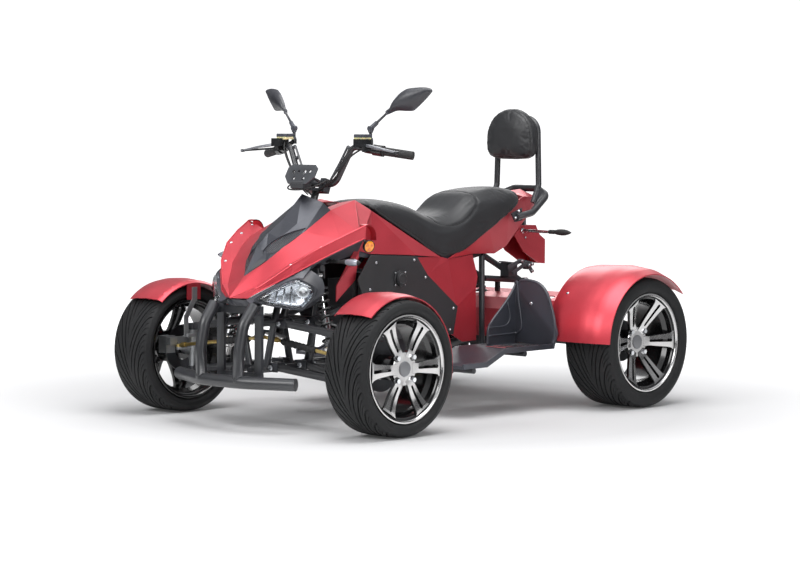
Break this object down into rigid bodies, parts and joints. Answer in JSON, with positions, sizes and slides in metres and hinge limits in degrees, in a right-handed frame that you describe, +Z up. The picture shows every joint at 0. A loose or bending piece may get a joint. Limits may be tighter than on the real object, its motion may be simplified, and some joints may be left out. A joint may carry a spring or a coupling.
{
  "type": "quad bike",
  "caption": "Road-going quad bike with a pointed nose cowl, stepped seat, backrest, double-spoke wheels, tube bumper and handlebar steering of the front wheels.",
  "frame": {"origin": "On the ground below the middle of the bounding box.", "axes": "+X forwards, +Y to the rider's left, +Z up."},
  "size_m": [1.9489, 1.4, 1.25],
  "materials": {
    "tyre_rubber": "matt moulded rubber",
    "machined_rim": "machined face, black pockets",
    "red_panel": "satin metallic red lacquer",
    "grey_panel": "satin dark grey lacquer",
    "black_plastic": "grained moulded plastic",
    "black_steel": "black powder coat",
    "cast_metal": "as cast",
    "spring_steel": "black lacquered spring",
    "zinc_steel": "yellow zinc plate",
    "seat_vinyl": "stitched black vinyl",
    "lamp_lens": "clear moulded lens",
    "red_lens": "red moulded lens",
    "amber_lens": "amber moulded reflector",
    "indicator_black": "dark moulded lamp"
  },
  "bodies": {
    "chassis": {"backrest_frame": "black_steel", "backrest_pad": "seat_vinyl", "battery_box": "black_steel", "footrest_left": "black_plastic", "footrest_right": "black_plastic", "frame_posts": "black_steel", "front_bumper": "black_steel", "front_carrier": "black_steel", "front_shocks": "spring_steel", "grab_rail": "black_steel", "headlight_housings": "black_plastic", "headlight_lenses": "lamp_lens", "hood_panel": "grey_panel", "indicators": "indicator_black", "lamp_bridge": "black_plastic", "lower_arms": "black_steel", "lower_frame": "black_steel", "main_frame": "black_steel", "nose_cowl": "red_panel", "parking_brake": "cast_metal", "plate_holder": "red_panel", "rear_deck": "red_panel", "rear_drive": "zinc_steel", "rear_fender_left": "red_panel", "rear_fender_right": "red_panel", "rear_shocks": "spring_steel", "seat": "seat_vinyl", "side_covers": "red_panel", "side_plates": "black_plastic", "side_reflectors": "amber_lens", "swing_arm": "black_steel", "tail_cover": "red_panel", "tail_light": "red_lens", "tank_cover": "red_panel", "upper_arms": "black_steel"},
    "steering": {"steering_column": "black_steel", "handlebar": "black_steel", "grips": "black_plastic", "bar_controls": "black_steel", "mirrors": "black_steel", "dash_bracket": "cast_metal"},
    "knuckle_left": {"knuckle_left": "cast_metal", "mudguard_left": "red_panel"},
    "knuckle_right": {"knuckle_right": "cast_metal", "mudguard_right": "red_panel"},
    "tie_rod_left": {"tie_rod_left": "zinc_steel"},
    "tie_rod_right": {"tie_rod_right": "zinc_steel"},
    "front_wheel_left": {"front_tyre_left": "tyre_rubber", "front_rim_left": "machined_rim"},
    "front_wheel_right": {"front_tyre_right": "tyre_rubber", "front_rim_right": "machined_rim"},
    "rear_wheel_left": {"rear_tyre_left": "tyre_rubber", "rear_rim_left": "machined_rim"},
    "rear_wheel_right": {"rear_tyre_right": "tyre_rubber", "rear_rim_right": "machined_rim"}
  },
  "joints": [
    {"name": "steering", "type": "hinge", "parent": "chassis", "child": "steering", "pos_m": [0.6535, 0, 0.322], "axis": [-0.3421, 0, 0.9397], "range_deg": [-30, 30]},
    {"name": "kingpin_left", "type": "hinge", "parent": "chassis", "child": "knuckle_left", "pos_m": [0.6535, 0.47, 0.246], "axis": [0, 0, 1], "range_deg": [-30, 30]},
    {"name": "kingpin_right", "type": "hinge", "parent": "chassis", "child": "knuckle_right", "pos_m": [0.6535, -0.47, 0.246], "axis": [0, 0, 1], "range_deg": [-30, 30]},
    {"name": "tie_rod_left", "type": "hinge", "parent": "knuckle_left", "child": "tie_rod_left", "pos_m": [0.7135, 0.487, 0.261], "axis": [0, 0, 1], "range_deg": [-30, 30]},
    {"name": "tie_rod_right", "type": "hinge", "parent": "knuckle_right", "child": "tie_rod_right", "pos_m": [0.7135, -0.487, 0.261], "axis": [0, 0, 1], "range_deg": [-30, 30]},
    {"name": "front_wheel_left", "type": "hinge", "parent": "knuckle_left", "child": "front_wheel_left", "pos_m": [0.6535, 0.5675, 0.246], "axis": [0, 1, 0], "continuous": true},
    {"name": "front_wheel_right", "type": "hinge", "parent": "knuckle_right", "child": "front_wheel_right", "pos_m": [0.6535, -0.5675, 0.246], "axis": [0, 1, 0], "continuous": true},
    {"name": "rear_wheel_left", "type": "hinge", "parent": "chassis", "child": "rear_wheel_left", "pos_m": [-0.7165, 0.5745, 0.258], "axis": [0, 1, 0], "continuous": true},
    {"name": "rear_wheel_right", "type": "hinge", "parent": "chassis", "child": "rear_wheel_right", "pos_m": [-0.7165, -0.5745, 0.258], "axis": [0, 1, 0], "continuous": true}
  ],
  "couplings": [
    {"joint": "kingpin_left", "follows": "steering", "ratio": 1},
    {"joint": "kingpin_right", "follows": "steering", "ratio": 1},
    {"joint": "tie_rod_left", "follows": "steering", "ratio": -1},
    {"joint": "tie_rod_right", "follows": "steering", "ratio": -1}
  ]
}
